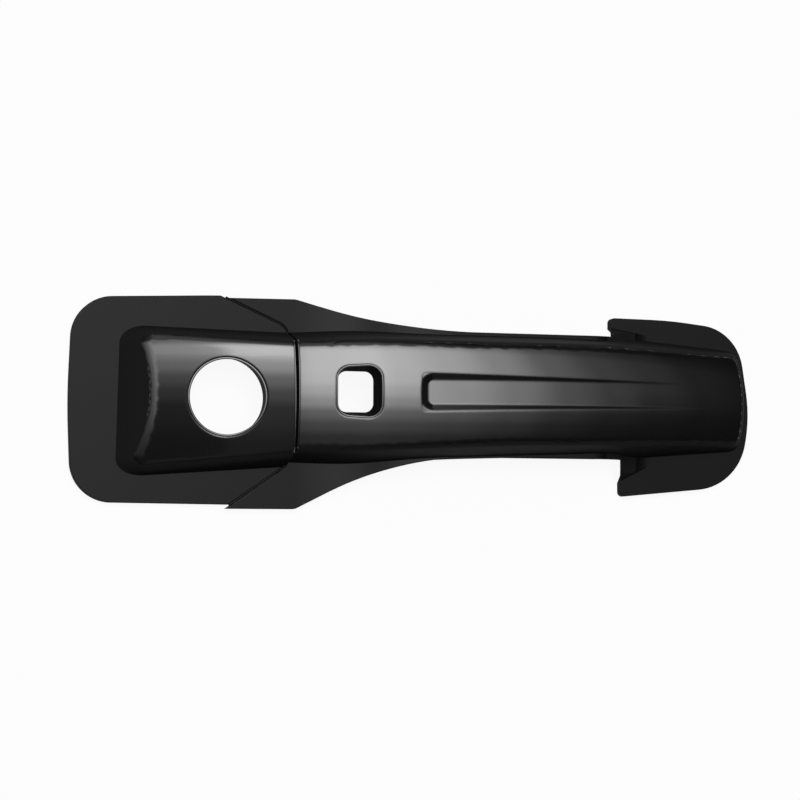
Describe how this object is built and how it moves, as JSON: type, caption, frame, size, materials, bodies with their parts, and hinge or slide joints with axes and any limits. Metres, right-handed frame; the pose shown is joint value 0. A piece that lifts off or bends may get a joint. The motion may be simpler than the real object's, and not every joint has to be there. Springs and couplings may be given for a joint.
{
  "type": "car door handle cover",
  "caption": "Gloss black stick-on cover for a pull-type car door handle: a keyhole cap and a long handle shell with a button window and a sunken panel.",
  "frame": {"origin": "centre of the footprint, at the level of the rims that lie on the door", "axes": "+Z outwards from the door, +X along the handle away from the lock, +Y across it"},
  "size_m": [0.2517, 0.0742, 0.0257],
  "materials": {
    "moulded_shell": "high gloss black",
    "foam_tape": "matt closed-cell foam",
    "release_liner": "smooth film"
  },
  "bodies": {
    "root": {"keyhole_cap_shell": "moulded_shell", "handle_shell": "moulded_shell", "cap_top_tape": "foam_tape", "cap_top_liner": "release_liner", "cap_left_tape": "foam_tape", "cap_left_liner": "release_liner", "cap_bottom_tape": "foam_tape", "cap_bottom_liner": "release_liner", "inner_wing_top_tape": "foam_tape", "inner_wing_top_liner": "release_liner", "inner_wing_bottom_tape": "foam_tape", "inner_wing_bottom_liner": "release_liner", "outer_wing_top_tape": "foam_tape", "outer_wing_top_liner": "release_liner", "outer_wing_bottom_tape": "foam_tape", "outer_wing_bottom_liner": "release_liner", "bar_upper_tape": "foam_tape", "bar_upper_liner": "release_liner", "bar_lower_tape": "foam_tape", "bar_lower_liner": "release_liner"}
  },
  "joints": []
}
